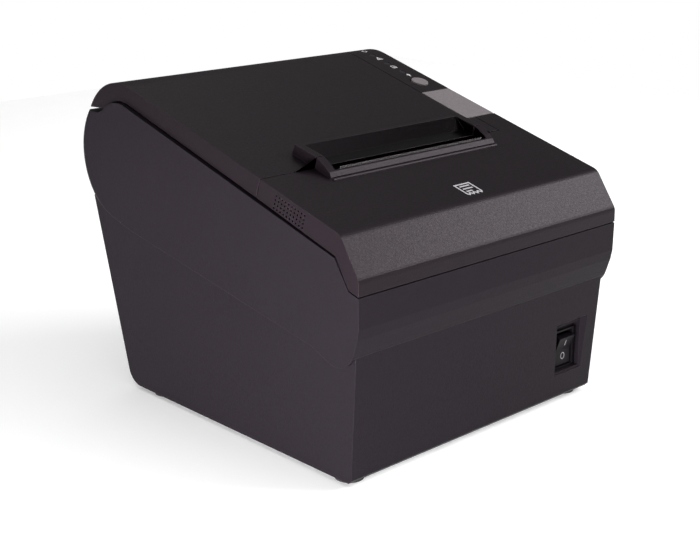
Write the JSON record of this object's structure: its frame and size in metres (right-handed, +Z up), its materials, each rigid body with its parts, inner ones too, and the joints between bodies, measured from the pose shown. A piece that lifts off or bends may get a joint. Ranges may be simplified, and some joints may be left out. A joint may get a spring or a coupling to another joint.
{
  "type": "receipt printer",
  "caption": "Desktop thermal receipt printer with a sloping paper cover, hooded paper exit, control strip, front power switch and rear ports.",
  "frame": {"origin": "centre of the whole printer's footprint, on the plane that its rubber feet stand on", "axes": "+Z up, +Y from the front face to the rear, +X to the right seen from the front"},
  "size_m": [0.1464, 0.1668, 0.1305],
  "materials": {
    "casing_plastic": "fine spark-eroded texture, charcoal",
    "cover_plastic": "fine spark-eroded texture, charcoal",
    "liner_plastic": "smooth moulded",
    "key_plastic": "fine texture, grey",
    "lens_plastic": "smoked, glossy",
    "steel_sheet": "zinc plated sheet",
    "blade_steel": "ground",
    "turned_steel": "turned",
    "motor_can": "plated can",
    "gear_plastic": "acetal",
    "brass": "machined",
    "heatsink_aluminium": "extruded",
    "head_ceramic": "glazed ceramic",
    "platen_rubber": "ground",
    "foot_rubber": "moulded",
    "circuit_board": "solder mask",
    "component_black": "moulded",
    "socket_shell": "tin plated",
    "switch_black": "semi-gloss moulded"
  },
  "bodies": {
    "casing": {"body_case": "casing_plastic", "base_plate": "steel_sheet", "front_cover": "cover_plastic", "control_panel": "cover_plastic", "hinge_pins": "turned_steel", "power_lens": "lens_plastic", "error_lens": "lens_plastic", "paper_lens": "lens_plastic", "panel_board": "circuit_board", "feed_switch": "component_black", "paper_bucket": "liner_plastic", "mech_frame": "steel_sheet", "cutter_frame": "steel_sheet", "cutter_cover": "steel_sheet", "cutter_motor": "motor_can", "tear_bar": "steel_sheet", "head_pivot": "turned_steel", "head_springs": "turned_steel", "feed_motor": "motor_can", "idler_axle": "turned_steel", "main_board": "circuit_board", "board_parts": "component_black", "port_plate": "steel_sheet", "dc_inlet": "component_black", "drawer_port": "component_black", "usb_port": "socket_shell", "lan_port": "socket_shell", "serial_port": "socket_shell", "switch_housing": "switch_black", "buzzer": "component_black", "foot_front_left": "foot_rubber", "foot_front_right": "foot_rubber", "foot_rear_left": "foot_rubber", "foot_rear_right": "foot_rubber", "base_screws": "turned_steel", "frame_screws": "turned_steel"},
    "paper_lid": {"paper_cover": "cover_plastic", "cover_liner": "liner_plastic", "fixed_blade": "blade_steel", "platen_bush_left": "gear_plastic", "platen_bush_right": "gear_plastic"},
    "platen": {"platen_shaft": "turned_steel", "platen_sleeve": "platen_rubber", "platen_gear": "gear_plastic"},
    "feed_idler": {"idler_gear": "gear_plastic"},
    "feed_pinion": {"motor_pinion": "brass"},
    "print_head": {"head_heatsink": "heatsink_aluminium", "head_element": "head_ceramic"},
    "cutter_blade": {"moving_blade": "blade_steel"},
    "cutter_wheel": {"cutter_gear": "gear_plastic"},
    "cutter_drive": {"cutter_pinion": "brass"},
    "cover_release": {"release_button": "key_plastic"},
    "latch": {"latch_shaft": "turned_steel", "latch_hook_left": "turned_steel", "latch_hook_right": "turned_steel", "release_crank": "turned_steel"},
    "feed_key": {"feed_button": "key_plastic"},
    "power_switch": {"power_rocker": "switch_black"}
  },
  "joints": [
    {"name": "lid_hinge", "type": "hinge", "parent": "casing", "child": "paper_lid", "pos_m": [0, 0.0739, 0.1123], "axis": [-1, 0, 0], "range_deg": [0, 75]},
    {"name": "platen_spin", "type": "hinge", "parent": "paper_lid", "child": "platen", "pos_m": [0, -0.01859, 0.08566], "axis": [1, 0, 0], "continuous": true},
    {"name": "idler_spin", "type": "hinge", "parent": "casing", "child": "feed_idler", "pos_m": [-0.0516, -0.01226, 0.06369], "axis": [1, 0, 0], "continuous": true},
    {"name": "pinion_spin", "type": "hinge", "parent": "casing", "child": "feed_pinion", "pos_m": [-0.0516, -0.02755, 0.05299], "axis": [1, 0, 0], "continuous": true},
    {"name": "head_swing", "type": "hinge", "parent": "casing", "child": "print_head", "pos_m": [0, -0.02174, 0.07216], "axis": [1, 0, 0], "range_deg": [0, 2], "stiffness_Nm_per_rad": 2, "springref_deg": -2.86, "deforming": ["head_springs"]},
    {"name": "blade_slide", "type": "slide", "parent": "casing", "child": "cutter_blade", "axis": [0, 0.9627, 0.2706], "range_m": [0, 0.009]},
    {"name": "cutter_wheel_spin", "type": "hinge", "parent": "casing", "child": "cutter_wheel", "pos_m": [0.01806, -0.04827, 0.08594], "axis": [0, -0.2706, 0.9627], "range_deg": [-66, 0]},
    {"name": "cutter_drive_spin", "type": "hinge", "parent": "casing", "child": "cutter_drive", "pos_m": [0.03012, -0.04827, 0.08594], "axis": [0, -0.2706, 0.9627], "range_deg": [0, 131]},
    {"name": "release_press", "type": "slide", "parent": "casing", "child": "cover_release", "axis": [0, 0.2706, -0.9627], "range_m": [0, 0.0022], "stiffness_N_per_m": 400, "springref_m": -0.001},
    {"name": "latch_swing", "type": "hinge", "parent": "casing", "child": "latch", "pos_m": [0, -0.0142, 0.0675], "axis": [1, 0, 0], "range_deg": [-6, 0]},
    {"name": "feed_press", "type": "slide", "parent": "casing", "child": "feed_key", "axis": [0, 0.2706, -0.9627], "range_m": [0, 0.001], "stiffness_N_per_m": 300, "springref_m": -0.0008},
    {"name": "rocker_tilt", "type": "hinge", "parent": "casing", "child": "power_switch", "pos_m": [0.054, -0.0704, 0.0224], "axis": [-1, 0, 0], "range_deg": [0, 20]}
  ],
  "couplings": [
    {"joint": "idler_spin", "follows": "platen_spin", "ratio": -0.58333},
    {"joint": "pinion_spin", "follows": "platen_spin", "ratio": 2},
    {"joint": "cutter_wheel_spin", "follows": "blade_slide", "rad_per_m": -125},
    {"joint": "cutter_drive_spin", "follows": "blade_slide", "rad_per_m": 250},
    {"joint": "latch_swing", "follows": "release_press", "rad_per_m": -46}
  ]
}
